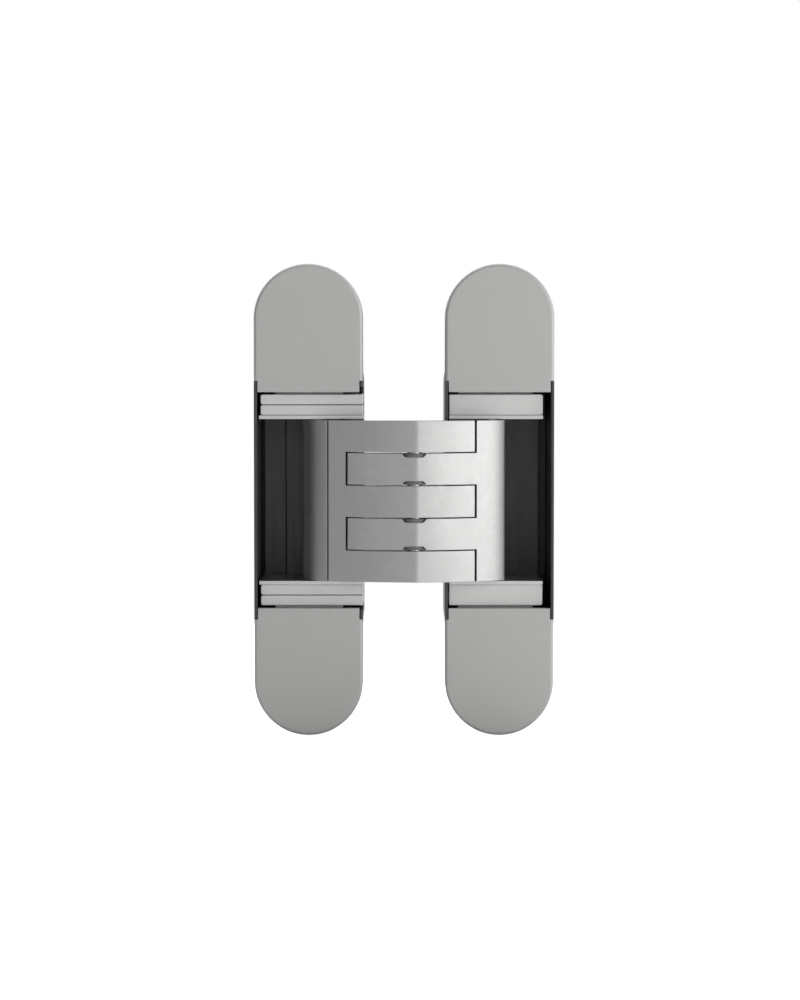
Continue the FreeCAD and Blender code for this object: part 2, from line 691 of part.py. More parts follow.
def frame_cheek():
    """Inner block of the frame body, with the lug that the side screw moves."""
    cheek_top = CHEEK_Z + CHEEK_THICKNESS
    cheek = stepped_bar(FRAME_FACE, CHEEK_Z, cheek_top, CHEEK_BACK)
    half, nut_back = NUT_WIDTH / 2, NUT_FACE + NUT_DEPTH
    lug = box(-half, half, NUT_FACE, nut_back, CHEEK_Z, JACK_Z + JACK_RADIUS + NUT_MARGIN)
    cheek = cheek.fuse(lug).removeSplitter()
    holes = [
        bracket_web_room(CHEEK_Z, cheek_top),
        track_slot(frame_slider_at, CHEEK_Z, cheek_top),
        rod_z(FRAME_PIVOT, PIN_RADIUS + PRESS_GAP, CHEEK_Z, cheek_top),
        rod_y(0, JACK_Z, JACK_RADIUS + JACK_FIT, NUT_FACE, nut_back),
    ]
    return cheek.cut(holes)


def ear(left, right, end_z):
    """Ear that runs from a block to under the cover, rounded at its end."""
    root_z = BLOCK_TOP_Z - BLOCK_ROUND
    corners = [(left, root_z, 0), (right, root_z, 0), (right, end_z, EAR_ROUND), (left, end_z, EAR_ROUND)]
    return prism_y(outline(corners, front), EAR_FACE, EAR_BACK)


def clamp_slots(x, z, travel_x, travel_z):
    """Slots in an ear for its two clamping screws."""
    return [
        slot_y(x + side * CLAMP_X, z, CLAMP_HOLE_RADIUS, travel_x, travel_z, EAR_FACE, EAR_BACK)
        for side in (-1, 1)
    ]


def frame_bracket():
    """Outer block of the frame body with its clamped ear under the cover."""
    block = stepped_bar(FRAME_FACE, BRACKET_Z, BLOCK_TOP_Z, CHEEK_BACK)
    ear_end = FRAME_CLAMP_Z + HEIGHT_TRAVEL + CLAMP_HOLE_RADIUS + EAR_MARGIN
    block = block.fuse(ear(-EAR_HALF, EAR_HALF, ear_end)).removeSplitter()
    lug_room = NUT_WIDTH / 2 + WELL_GAP / 2
    near = NUT_FACE - SIDE_TRAVEL - WELL_GAP / 2
    far = NUT_FACE + NUT_DEPTH + SIDE_TRAVEL + WELL_GAP / 2
    cuts = [
        box(-lug_room, lug_room, near, far, BRACKET_Z, BLOCK_TOP_Z),
        rod_y(0, JACK_Z, JACK_RADIUS + JACK_FIT, EAR_FACE, EAR_BACK),
    ]
    return block.cut(cuts + clamp_slots(0, FRAME_CLAMP_Z, 0, HEIGHT_TRAVEL))


def door_track():
    plate = box(DOOR_BLOCK_LEFT, DOOR_BLOCK_RIGHT, TRACK_FACE, CHEEK_BACK, TRACK_Z, CHEEK_Z)
    slot = track_slot(door_slider_at, TRACK_Z, CHEEK_Z)
    return plate.cut([slot, rod_z(DOOR_PIVOT, PIN_RADIUS + PRESS_GAP, TRACK_Z, CHEEK_Z)])


def door_cheek():
    """Block of the door body with its clamped ear under the cover."""
    left, right = DOOR_BLOCK_LEFT, DOOR_BLOCK_RIGHT
    block = bar(left, right, CHEEK_Z, BLOCK_TOP_Z, BLOCK_FACE, CHEEK_BACK, 0, BLOCK_ROUND)
    ear_end = DOOR_CLAMP_Z + CLAMP_HOLE_RADIUS + EAR_MARGIN
    block = block.fuse(ear(BODY_PITCH - EAR_HALF - PRESSURE_TRAVEL, BODY_PITCH + EAR_HALF, ear_end))
    block = block.removeSplitter()
    cuts = [
        track_slot(door_slider_at, CHEEK_Z, SLOT_TOP),
        rod_z(DOOR_PIVOT, PIN_RADIUS + PRESS_GAP, CHEEK_Z, PIN_HOLE_TOP),
    ]
    return block.cut(cuts + clamp_slots(BODY_PITCH, DOOR_CLAMP_Z, -PRESSURE_TRAVEL, 0))


def web(left, right, half_height):
    """Plate across the backs of a top and a bottom block."""
    far = CHEEK_BACK + WEB_THICKNESS
    return bar(left, right, -half_height, half_height, CHEEK_BACK, far, WEB_ROUND, WEB_ROUND)


# Housings


def housing(x, with_window):
    """Die-cast body: a flange in a shallow mortise and a deep box behind it."""
    half, end = HALF_WIDTH, BODY_END
    body = stadium(x, end, half, 0, FLANGE_DEPTH)
    deep = stadium(x, BOX_TOP, half, FLANGE_DEPTH, BOX_DEPTH)
    deep = round_edges(deep, BACK_ROUND, lambda b: b.YMin > BOX_DEPTH - EDGE_TOLERANCE)
    body = body.fuse(deep).removeSplitter()
    cover_seat = COVER_THICKNESS + COVER_SEAT_GAP
    recess = stadium(x, end - RIM, half - RIM, 0, RECESS_DEPTH)
    cuts = [box(x - INNER_WALL, x + INNER_WALL, 0, BOX_DEPTH - FLOOR, -POCKET_HALF, POCKET_HALF)]
    for side in (-1, 1):
        low, high = sorted((side * COVER_STEP_Z, side * (end + OVERRUN)))
        cuts.append(box(x - half, x + half, 0, cover_seat, low, high))
        low, high = sorted((side * POCKET_HALF, side * COVER_STEP_Z))
        cuts.append(box(x - INNER_WALL, x + INNER_WALL, 0, RECESS_DEPTH, low, high))
        low, high = sorted((side * COVER_STEP_Z, side * end))
        cuts.append(recess.common(box(x - half, x + half, 0, RECESS_DEPTH, low, high)))
        for place in (-1, 1):
            hole_x, hole_z = x + place * FIX_SPACING_X / 2, side * FIX_Z
            cuts.append(rod_y(hole_x, hole_z, FIX_HOLE_RADIUS, RECESS_DEPTH, FLANGE_DEPTH))
            sink = FIX_HEAD_RADIUS - FIX_HOLE_RADIUS
            cone = Part.makeCone(
                FIX_HEAD_RADIUS, FIX_HOLE_RADIUS, sink, V(hole_x, RECESS_DEPTH, hole_z), V(0, 1, 0)
            )
            cuts.append(cone)
        for peg_z in PEG_Z:
            cuts.append(rod_y(x, side * peg_z, PEG_RADIUS + PEG_FIT, RECESS_DEPTH, FLANGE_DEPTH))
    if with_window:
        cuts.append(box(x + INNER_WALL, x + half, 0, WINDOW_DEPTH, -POCKET_HALF, POCKET_HALF))
    return body.cut(cuts)


def ear_recess(x, left, right, end_z, clamp_z):
    """Room for an ear and its clamping screws' threads at the top end of a housing."""
    low, high = POCKET_HALF - OVERRUN, end_z + EAR_SIDE_GAP
    room = box(x + left - EAR_SIDE_GAP, x + right + EAR_SIDE_GAP, 0, EAR_FLOOR, low, high)
    far = HEAD_FAR + CLAMP_LENGTH + OVERRUN
    return [room] + [rod_y(x + side * CLAMP_X, clamp_z, CLAMP_RADIUS, EAR_FLOOR, far) for side in (-1, 1)]


def back_core(x):
    """Hollow cast into the back of a housing's end."""
    low, high = POCKET_HALF + CORE_WALL, BOX_TOP - CORE_WALL
    half = HALF_WIDTH - CORE_INSET
    inner, outer = CORE_WALL / 2, CORE_WALL
    left, right = x - half, x + half
    corners = [(left, low, inner), (right, low, inner), (right, high, outer), (left, high, outer)]
    return prism_y(outline(corners, front), BOX_DEPTH - CORE_DEPTH, BOX_DEPTH)


def frame_housing():
    ear_end = FRAME_CLAMP_Z + 2 * HEIGHT_TRAVEL + CLAMP_HOLE_RADIUS + EAR_MARGIN
    cuts = ear_recess(0, -EAR_HALF, EAR_HALF, ear_end, FRAME_CLAMP_Z)
    well_half = NUT_WIDTH / 2 + WELL_GAP
    well_top = JACK_Z + JACK_RADIUS + NUT_MARGIN + HEIGHT_TRAVEL + WELL_GAP / 2
    well = box(-well_half, well_half, 0, JACK_END + WELL_GAP, POCKET_HALF - OVERRUN, well_top)
    return housing(0, True).cut(both_ends(*cuts, well, back_core(0)))


def door_housing():
    reach = EAR_HALF + PRESSURE_TRAVEL
    ear_end = DOOR_CLAMP_Z + CLAMP_HOLE_RADIUS + EAR_MARGIN
    cuts = ear_recess(BODY_PITCH, -reach, reach, ear_end, DOOR_CLAMP_Z)
    return housing(BODY_PITCH, False).cut(both_ends(*cuts, back_core(BODY_PITCH)))


# Covers and screws


def cover(x):
    """Cap over the screws at the top end: full width, then a tongue between the side walls."""
    half, end = HALF_WIDTH, BODY_END
    slab = stadium(x, end, half, 0, COVER_THICKNESS)
    plate = slab.common(box(x - half, x + half, 0, COVER_THICKNESS, COVER_STEP_Z, end))
    plate = round_edges(
        plate, COVER_EDGE_ROUND, lambda b: b.YMax < EDGE_TOLERANCE and b.ZMax > COVER_STEP_Z + EDGE_TOLERANCE
    )
    tongue_half = half - TONGUE_INSET
    tongue = box(x - tongue_half, x + tongue_half, 0, COVER_THICKNESS, COVER_END_Z, COVER_STEP_Z)
    outer = stadium(x, end - RIM - SKIRT_GAP, half - RIM - SKIRT_GAP, COVER_THICKNESS, RECESS_DEPTH)
    inset = RIM + SKIRT_GAP + SKIRT_THICKNESS
    inner = stadium(x, end - inset, half - inset, COVER_THICKNESS, RECESS_DEPTH)
    skirt = outer.cut(inner)
    skirt_z = COVER_STEP_Z + SKIRT_SETBACK
    skirt = skirt.common(box(x - half, x + half, COVER_THICKNESS, RECESS_DEPTH, skirt_z, end))
    pegs = [rod_y(x, z, PEG_RADIUS, COVER_THICKNESS, COVER_THICKNESS + PEG_LENGTH) for z in PEG_Z]
    return plate.fuse([tongue, skirt] + pegs).removeSplitter()


def socket_cut(x, z, near):
    """Hexagon socket in a screw's head."""
    radius = SOCKET_FLATS / math.sqrt(3)
    corners = []
    for i in range(6):
        angle = math.radians(60 * i)
        corners.append((x + radius * math.cos(angle), z + radius * math.sin(angle), 0))
    return prism_y(outline(corners, front), near, near + SOCKET_DEPTH)


def socket_screw(x, z, head_radius, radius, end):
    """Cylinder-head screw along Y with its head on the front of an ear."""
    head_near = HEAD_FAR - HEAD_HEIGHT
    head = rod_y(x, z, head_radius, head_near, HEAD_FAR)
    head = bevel_edges(head, HEAD_CHAMFER, lambda b: b.YMax < head_near + EDGE_TOLERANCE)
    shank = rod_y(x, z, radius, HEAD_FAR, end)
    shank = bevel_edges(shank, HEAD_CHAMFER, lambda b: b.YMin > end - EDGE_TOLERANCE)
    return head.fuse(shank).cut(socket_cut(x, z, head_near)).removeSplitter()


def side_screw():
    """Adjusting screw with a groove for its clip."""
    near = EAR_BACK + SLIDE_GAP
    groove = tube_y(0, JACK_Z, JACK_RADIUS + OVERRUN, JACK_RADIUS - CLIP_GROOVE, near, near + CLIP_THICKNESS)
    return socket_screw(0, JACK_Z, JACK_HEAD_RADIUS, JACK_RADIUS, JACK_END).cut(groove)


def side_clip():
    """Open clip that sits in the screw's groove, under the ear."""
    near = EAR_BACK + SLIDE_GAP
    far = near + CLIP_THICKNESS
    ring = tube_y(0, JACK_Z, CLIP_RADIUS, JACK_RADIUS - CLIP_GROOVE, near, far)
    half = CLIP_MOUTH / 2
    return ring.cut(box(-half, half, near, far, JACK_Z - CLIP_RADIUS, JACK_Z))


def clamp_screws(x, z):
    end = HEAD_FAR + CLAMP_LENGTH
    places = [x + side * CLAMP_X for side in (-1, 1)]
    return both_ends(*[socket_screw(place, z, CLAMP_HEAD_RADIUS, CLAMP_RADIUS, end) for place in places])


def save(name, shapes):
    """One STEP file per node; like pieces of one node are kept as separate solids."""
    shapes = shapes if isinstance(shapes, list) else [shapes]
    solids = [solid for shape in shapes for solid in shape.Solids]
    whole = solids[0] if len(solids) == 1 else Part.makeCompound(solids)
    whole.exportStep(os.path.join("parts", name + ".step"))
    print(name, len(solids), round(sum(solid.Volume for solid in solids), 1))


def save_pair(name, shape):
    top, bottom = both_ends(shape)
    save(name + "_top", top)
    save(name + "_bottom", bottom)


def main():
    os.makedirs("parts", exist_ok=True)
    save("frame_housing", frame_housing())
    save_pair("frame_cover", cover(0))
    save("frame_clamp_screws", clamp_screws(0, FRAME_CLAMP_Z))
    save_pair("frame_bracket", frame_bracket())
    save("frame_bracket_web", web(FRAME_BLOCK_LEFT, WEB_SEAM_X - WEB_SEAM_GAP / 2, BLOCK_TOP_Z))
    save_pair("side_screw", side_screw())
    save_pair("side_screw_clip", side_clip())
    save_pair("frame_cheek", frame_cheek())
    save_pair("frame_track", frame_track())
    web_right = INNER_WALL - WEB_MARGIN
    save("frame_web", web(WEB_SEAM_X + WEB_SEAM_GAP / 2, web_right, CHEEK_Z + CHEEK_THICKNESS))
    save("frame_pivot_pin", pin(FRAME_PIVOT, PIN_HALF))
    save("frame_pivot_spacers", spacers(FRAME_PIVOT, ROWS_A))
    save("arm_b", arm_b())
    save("arm_b_slider_pin", pin(DOOR_SLIDER, PIN_HALF))
    save("arm_b_slider_bushes", slider_bushes(DOOR_SLIDER))
    save("centre_bushes", centre_bushes())
    save("thrust_washers", thrust_washers())
    save("arm_a", arm_a())
    save("arm_a_slider_pin", pin(FRAME_SLIDER, PIN_HALF))
    save("arm_a_slider_bushes", slider_bushes(FRAME_SLIDER))
    save("centre_pin", pin(CENTRE, ARM_HALF))
    save_pair("door_cheek", door_cheek())
    save_pair("door_track", door_track())
    web_left = BODY_PITCH - INNER_WALL + WEB_MARGIN
    save("door_web", web(web_left, DOOR_BLOCK_RIGHT, BLOCK_TOP_Z))
    save("door_pivot_pin", pin(DOOR_PIVOT, PIN_HALF))
    save("door_pivot_spacers", spacers(DOOR_PIVOT, ROWS_B))
    save("door_housing", door_housing())
    save_pair("door_cover", cover(BODY_PITCH))
    save("door_clamp_screws", clamp_screws(BODY_PITCH, DOOR_CLAMP_Z))
    print("arm B turns %.4f, arm A turns %.4f, door turns %.1f" % (ARM_B_TURN, ARM_A_TURN, DOOR_TURN))


main()
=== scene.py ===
"""Concealed door hinge: finishes, softened edges, threaded screws and the studio round it.

Metres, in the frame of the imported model: X across the hinge, Y into the wood, Z up.
"""

import json
import math

import bmesh
import bpy
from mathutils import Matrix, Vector
from mathutils.bvhtree import BVHTree


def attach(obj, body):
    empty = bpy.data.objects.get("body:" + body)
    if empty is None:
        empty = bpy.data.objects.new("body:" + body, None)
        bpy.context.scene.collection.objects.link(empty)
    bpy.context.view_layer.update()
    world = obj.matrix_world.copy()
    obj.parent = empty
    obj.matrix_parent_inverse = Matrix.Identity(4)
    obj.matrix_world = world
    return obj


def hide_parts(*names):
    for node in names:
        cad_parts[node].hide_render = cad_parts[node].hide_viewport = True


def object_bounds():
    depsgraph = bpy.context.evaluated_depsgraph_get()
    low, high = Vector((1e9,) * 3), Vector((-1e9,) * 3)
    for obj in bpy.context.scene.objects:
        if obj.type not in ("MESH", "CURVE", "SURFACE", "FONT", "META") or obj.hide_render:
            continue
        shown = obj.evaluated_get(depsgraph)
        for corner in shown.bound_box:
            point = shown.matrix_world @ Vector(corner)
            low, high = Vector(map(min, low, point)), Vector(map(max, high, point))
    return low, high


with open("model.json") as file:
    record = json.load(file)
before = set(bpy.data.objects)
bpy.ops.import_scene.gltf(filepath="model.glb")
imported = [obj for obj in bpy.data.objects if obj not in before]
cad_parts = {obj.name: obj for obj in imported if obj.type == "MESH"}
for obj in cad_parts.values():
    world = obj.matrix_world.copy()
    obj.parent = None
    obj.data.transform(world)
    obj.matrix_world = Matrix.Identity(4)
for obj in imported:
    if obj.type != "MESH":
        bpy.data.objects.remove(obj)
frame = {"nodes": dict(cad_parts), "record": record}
cad_low, cad_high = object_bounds()
MM = 0.001
MICRON = 0.001 * MM
RECORD = frame["record"]
BODY_OF = {node: body for body, nodes in RECORD["behaviour"]["bodies"].items() for node in nodes}
SLOT_OF = {part["node"]: part["material_slot"] for part in RECORD["subparts"]}


# Finishes


NOISE_SPAN = (0.3, 0.7)         # a noise seldom leaves these values


class Finish:
    """A procedural finish on one Principled shader, patterned on Object coordinates."""

    def __init__(self, name, color, metallic, roughness, specular=0.5):
        self.material = bpy.data.materials.new(name)
        self.material.use_nodes = True
        self.tree = self.material.node_tree
        self.tree.nodes.clear()
        self.shader = self.tree.nodes.new("ShaderNodeBsdfPrincipled")
        output = self.tree.nodes.new("ShaderNodeOutputMaterial")
        self.join(self.shader.outputs["BSDF"], output.inputs["Surface"])
        self.place = self.tree.nodes.new("ShaderNodeTexCoord").outputs["Object"]
        self.color = color
        self.roughness = roughness
        self.shader.inputs["Base Color"].default_value = (*color, 1)
        self.shader.inputs["Metallic"].default_value = metallic
        self.shader.inputs["Roughness"].default_value = roughness
        self.shader.inputs["Specular IOR Level"].default_value = specular
        self.height = None

    def join(self, output, target):
        self.tree.links.new(output, target)

    def noise(self, size, detail=3.0, stretch=(1, 1, 1)):
        """Noise with features about so many metres wide, drawn out along the axes by stretch."""
        mapping = self.tree.nodes.new("ShaderNodeMapping")
        mapping.inputs["Scale"].default_value = [1 / (size * part) for part in stretch]
        self.join(self.place, mapping.inputs["Vector"])
        noise = self.tree.nodes.new("ShaderNodeTexNoise")
        noise.inputs["Scale"].default_value = 1.0
        noise.inputs["Detail"].default_value = detail
        self.join(mapping.outputs["Vector"], noise.inputs["Vector"])
        return noise.outputs["Fac"]

    def spread(self, value, low, high):
        """Stretches a noise, which stays near its middle, over low to high."""
        span = self.tree.nodes.new("ShaderNodeMapRange")
        span.inputs["From Min"].default_value, span.inputs["From Max"].default_value = NOISE_SPAN
        span.inputs["To Min"].default_value = low
        span.inputs["To Max"].default_value = high
        self.join(value, span.inputs["Value"])
        return span.outputs["Result"]

    def vary_color(self, value, amount, tint=(1, 1, 1)):
        """Base colour that runs from darker to lighter by that share, the light end tinted."""
        dark = [part * (1 - amount) for part in self.color]
        light = [part * (1 + amount) * share for part, share in zip(self.color, tint)]
        mix = self.tree.nodes.new("ShaderNodeMix")
        mix.data_type = "RGBA"
        mix.inputs["A"].default_value = (*dark, 1)
        mix.inputs["B"].default_value = (*light, 1)
        self.join(self.spread(value, 0, 1), mix.inputs["Factor"])
        self.join(mix.outputs["Result"], self.shader.inputs["Base Color"])

    def vary_roughness(self, value, amount):
        span = self.spread(value, self.roughness - amount, self.roughness + amount)
        self.join(span, self.shader.inputs["Roughness"])

    def bump(self, value, depth):
        """Adds relief of that depth in metres on top of what is there."""
        bump = self.tree.nodes.new("ShaderNodeBump")
        bump.inputs["Distance"].default_value = depth
        self.join(value, bump.inputs["Height"])
        if self.height:
            self.join(self.height, bump.inputs["Normal"])
        self.height = bump.outputs["Normal"]
        self.join(self.height, self.shader.inputs["Normal"])


def coated_black(name, color, roughness, rolled):
    """Black coat: orange-peel relief on castings, drawn out along the height on rolled sheet."""
    finish = Finish(name, color, 0.0, roughness, specular=0.4)
    stretch = (1, 1, 12) if rolled else (1, 1, 1)
    finish.vary_color(finish.noise(4 * MM, stretch=stretch), 0.1)
    finish.vary_roughness(finish.noise(1.1 * MM, stretch=stretch), 0.09)
    finish.bump(finish.noise(0.5 * MM, detail=2), 10 * MICRON)
    finish.bump(finish.noise(0.12 * MM, detail=2), 4 * MICRON)
    return finish.material


def coated_silver(name, color, roughness, metallic):
    """Matt silver coat with fine metallic flake and a faint cloudiness."""
    finish = Finish(name, color, metallic, roughness)
    finish.vary_color(finish.noise(0.16 * MM, detail=1), 0.07)
    finish.vary_roughness(finish.noise(3.5 * MM), 0.03)
    finish.bump(finish.noise(0.22 * MM, detail=2), 2.5 * MICRON)
    finish.bump(finish.noise(3 * MM, detail=2), 6 * MICRON)
    return finish.material


def blasted_nickel(name, color, roughness):
    """Satin nickel paint over a finely blasted casting."""
    finish = Finish(name, color, 0.85, roughness)
    finish.vary_color(finish.noise(1.8 * MM), 0.035, tint=(1.0, 1.0, 0.995))
    finish.vary_roughness(finish.noise(0.7 * MM), 0.035)
    finish.bump(finish.noise(0.14 * MM, detail=2), 2.8 * MICRON)
    return finish.material


def turned_steel(name, color, roughness):
    """Ground or turned steel: fine rings across the height."""
    finish = Finish(name, color, 1.0, roughness)
    rings = finish.noise(0.2 * MM, detail=2, stretch=(40, 40, 1))
    finish.vary_color(rings, 0.06)
    finish.vary_roughness(rings, 0.05)
    finish.bump(rings, 2 * MICRON)
    return finish.material


def rolled_steel(name, color, roughness):
    """Satin sheet steel with its rolling lines along the depth."""
    finish = Finish(name, color, 1.0, roughness)
    lines = finish.noise(0.12 * MM, detail=2, stretch=(1, 60, 1))
    finish.vary_color(lines, 0.05)
    finish.vary_roughness(lines, 0.05)
    finish.bump(lines, 1.5 * MICRON)
    return finish.material


def plastic(name, color, roughness):
    """Moulded plastic with a fine grain."""
    finish = Finish(name, color, 0.0, roughness, specular=0.45)
    finish.vary_color(finish.noise(1.2 * MM), 0.08)
    finish.vary_roughness(finish.noise(0.5 * MM), 0.05)
    finish.bump(finish.noise(0.2 * MM, detail=2), 4 * MICRON)
    return finish.material


def sintered_bronze(name, color, roughness):
    """Pressed bronze powder, with open pores."""
    finish = Finish(name, color, 1.0, roughness)
    finish.vary_color(finish.noise(0.3 * MM), 0.18)
    finish.vary_roughness(finish.noise(0.2 * MM), 0.08)
    finish.bump(finish.noise(0.09 * MM, detail=2), 8 * MICRON)
    return finish.material


FINISHES = {
    "body_black": coated_black("body_black", (0.05, 0.05, 0.0505), 0.48, rolled=False),
    "web_black": coated_black("web_black", (0.14, 0.14, 0.141), 0.45, rolled=True),
    "cap_silver": coated_silver("cap_silver", (0.46, 0.46, 0.45), 0.5, 0.4),
    "block_silver": coated_silver("block_silver", (0.61, 0.61, 0.6), 0.46, 0.4),
    "track_steel": rolled_steel("track_steel", (0.58, 0.58, 0.58), 0.34),
    "arm_nickel": blasted_nickel("arm_nickel", (0.445, 0.442, 0.439), 0.38),
    "pin_steel": turned_steel("pin_steel", (0.6, 0.6, 0.61), 0.25),
    "screw_zinc": turned_steel("screw_zinc", (0.55, 0.56, 0.58), 0.3),
    "bronze": sintered_bronze("bronze", (0.42, 0.30, 0.15), 0.4),
    "bush_grey": plastic("bush_grey", (0.09, 0.09, 0.095), 0.5),
    "washer_grey": plastic("washer_grey", (0.13, 0.13, 0.13), 0.55),
}


# Pieces


def settle(piece, *nodes):
    """Puts a finished piece on the body, slot and finish of the nodes that it stands for."""
    slot = SLOT_OF[nodes[0]]
    piece.data.materials.clear()
    piece.data.materials.append(FINISHES[slot])
    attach(piece, BODY_OF[nodes[0]])
    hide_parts(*nodes)
    return piece


def baked(piece, name):
    """The evaluated piece as a plain mesh object, in place of the one with modifiers."""
    graph = bpy.context.evaluated_depsgraph_get()
    mesh = bpy.data.meshes.new_from_object(piece.evaluated_get(graph))
    plain = bpy.data.objects.new(name, mesh)
    bpy.context.scene.collection.objects.link(plain)
    old = piece.data
    bpy.data.objects.remove(piece)
    if old.users == 0:
        bpy.data.meshes.remove(old)
    return plain


MERGE = 2 * MICRON
FLAT = math.radians(0.6)        # less of a turn than this is one flat face
CREASE = math.radians(28)       # more of a turn than this is an edge to be rounded
FACET_TURN = math.radians(5)    # turn between two facets that keeps its crease
FACET_WIDTH = 2 * MM
FACET_WEIGHT = 100              # how far a large face outweighs small ones in shared normals
ROUND_SEGMENTS = 2
STRAY = 0.6                     # share of a round's width past which a point has gone astray


def broad(face):
    """Whether a face is a facet of its own, and not a strip of a rounded surface."""
    return face.calc_area() > FACET_WIDTH * max(edge.calc_length() for edge in face.edges)


def shaded(piece, name):
    """The piece with smooth shading that leaves every crease sharp and every flat face flat."""
    whole = bmesh.new()
    whole.from_mesh(piece.data)
    for face in whole.faces:
        face.smooth = True
    for edge in whole.edges:
        angle = edge.calc_face_angle(0) if len(edge.link_faces) == 2 else 0
        facets_meet = angle > FACET_TURN and all(map(broad, edge.link_faces))
        edge.smooth = angle < CREASE and not facets_meet
    whole.to_mesh(piece.data)
    whole.free()
    normals = piece.modifiers.new("normals", "WEIGHTED_NORMAL")
    normals.keep_sharp = True
    normals.weight = FACET_WEIGHT
    return baked(piece, name)


def softened(node, width):
    """A CAD node's copy, merged from its loose triangles, with its sharp edges rounded.

    Where two rounds meet in a narrow place, a point may be thrown clear of the solid. It is put
    back on the solid's surface.
    """
    mesh = bpy.data.meshes.new(node)
    whole = bmesh.new()
    whole.from_mesh(frame["nodes"][node].data)
    bmesh.ops.remove_doubles(whole, verts=whole.verts, dist=MERGE)
    bmesh.ops.dissolve_limit(whole, angle_limit=FLAT, verts=whole.verts, edges=whole.edges)
    surface = BVHTree.FromBMesh(whole)
    whole.to_mesh(mesh)
    whole.free()
    piece = bpy.data.objects.new(node + "_edges", mesh)
    bpy.context.scene.collection.objects.link(piece)
    bevel = piece.modifiers.new("edges", "BEVEL")
    bevel.width = width
    bevel.segments = ROUND_SEGMENTS
    bevel.limit_method = "ANGLE"
    bevel.angle_limit = CREASE
    bevel.use_clamp_overlap = False
    bevel.loop_slide = False
    rounded = baked(piece, node + "_bevelled")
    for vertex in rounded.data.vertices:
        nearest, _, _, distance = surface.find_nearest(vertex.co)
        if distance > STRAY * width:
            vertex.co = nearest
    return settle(shaded(rounded, node + "_piece"), node)


EDGE_ROUNDS = {
    "body_black": 0.16 * MM,
    "web_black": 0.08 * MM,
    "cap_silver": 0.12 * MM,
    "block_silver": 0.3 * MM,
    "track_steel": 0.08 * MM,
    "arm_nickel": 0.15 * MM,
    "pin_steel": 0.25 * MM,
    "screw_zinc": 0.1 * MM,
    "bronze": 0.06 * MM,
    "bush_grey": 0.08 * MM,
    "washer_grey": 0.06 * MM,
}


# Screws


SCREW_SIDES = 36
HEAD_RADIUS = {"clamp": 3.3 * MM, "side": 3.0 * MM}
HEAD_HEIGHT = 1.9 * MM
HEAD_BEVEL = 0.3 * MM
SHANK_RADIUS = 1.9 * MM
SOCKET_FLATS = 2.5 * MM
SOCKET_DEPTH = 1.2 * MM
SOCKET_MOUTH = 0.12 * MM
GROOVE = (4.3 * MM, 4.9 * MM)   # of the side screws, from the front of the head
GROOVE_DEPTH = 0.4 * MM
THREAD_START = {"clamp": 3.0 * MM, "side": 5.3 * MM}
THREAD_PITCH = 0.7 * MM
THREAD_DEPTH = 0.36 * MM
THREAD_CREST = 0.14             # share of the pitch that stays flat, at crest and root
THREAD_STEPS = 5                # rings for each turn
SCREW_TURN = math.radians(60)   # a screw is turned by up to one flat of its socket
SCREW_SEED = 3


def ring(radius_at, y):
    """Closed ring of points round the Y axis, its radius a function of the angle."""
    angles = [2 * math.pi * i / SCREW_SIDES for i in range(SCREW_SIDES)]
    return [(radius_at(a) * math.cos(a), y, radius_at(a) * math.sin(a)) for a in angles]


def circle(radius, y):
    return ring(lambda angle: radius, y)


def hexagon(flats, y):
    sixth = math.pi / 3
    return ring(lambda angle: flats / 2 / math.cos((angle % sixth) - sixth / 2), y)


def thread(start, end):
    """Rings of a helical thread that runs in at its start and ends in a bevelled tip."""
    rings = []
    count = round((end - start) / THREAD_PITCH * THREAD_STEPS)
    for i in range(count + 1):
        y = start + (end - start) * i / count
        run_in = min(1.0, (y - start) / THREAD_PITCH)
        tip = max(0.0, HEAD_BEVEL - (end - y))

        def radius_at(angle):
            phase = (y / THREAD_PITCH - angle / (2 * math.pi)) % 1.0
            flank = (abs(2 * phase - 1) - THREAD_CREST) / (1 - 2 * THREAD_CREST)
            return SHANK_RADIUS - max(tip, THREAD_DEPTH * run_in * min(1.0, max(0.0, flank)))

        rings.append(ring(radius_at, y))
    return rings


def screw_mesh(kind, length):
    """Socket screw along Y with the front of its head at the origin."""
    head, start = HEAD_RADIUS[kind], THREAD_START[kind]
    mouth = SOCKET_FLATS / math.sqrt(3) + SOCKET_MOUTH
    rings = [
        hexagon(SOCKET_FLATS, SOCKET_DEPTH), hexagon(SOCKET_FLATS, SOCKET_MOUTH), circle(mouth, 0),
        circle(head - HEAD_BEVEL, 0), circle(head, HEAD_BEVEL), circle(head, HEAD_HEIGHT),
        circle(SHANK_RADIUS, HEAD_HEIGHT),
    ]
    if kind == "side":
        near, far = GROOVE
        rings += [circle(SHANK_RADIUS, near), circle(SHANK_RADIUS - GROOVE_DEPTH, near)]
        rings += [circle(SHANK_RADIUS - GROOVE_DEPTH, far), circle(SHANK_RADIUS, far)]
    rings += thread(start, length)
    points = [point for loop in rings for point in loop]
    faces = []
    for k in range(len(rings) - 1):
        for i in range(SCREW_SIDES):
            j = (i + 1) % SCREW_SIDES
            a, b = k * SCREW_SIDES, (k + 1) * SCREW_SIDES
            faces.append((a + i, a + j, b + j, b + i))
    last = (len(rings) - 1) * SCREW_SIDES
    faces.append(tuple(range(SCREW_SIDES))[::-1])
    faces.append(tuple(range(last, last + SCREW_SIDES)))
    mesh = bpy.data.meshes.new(kind + "_screw")
    mesh.from_pydata(points, [], faces)
    return mesh


def add_node(tree, kind, **inputs):
    """New node, with each input linked to a socket or set to a value."""
    node = tree.nodes.new(kind)
    for name, value in inputs.items():
        socket = node.inputs[name.replace("_", " ")]
        if isinstance(value, bpy.types.NodeSocket):
            tree.links.new(value, socket)
        else:
            socket.default_value = value
    return node


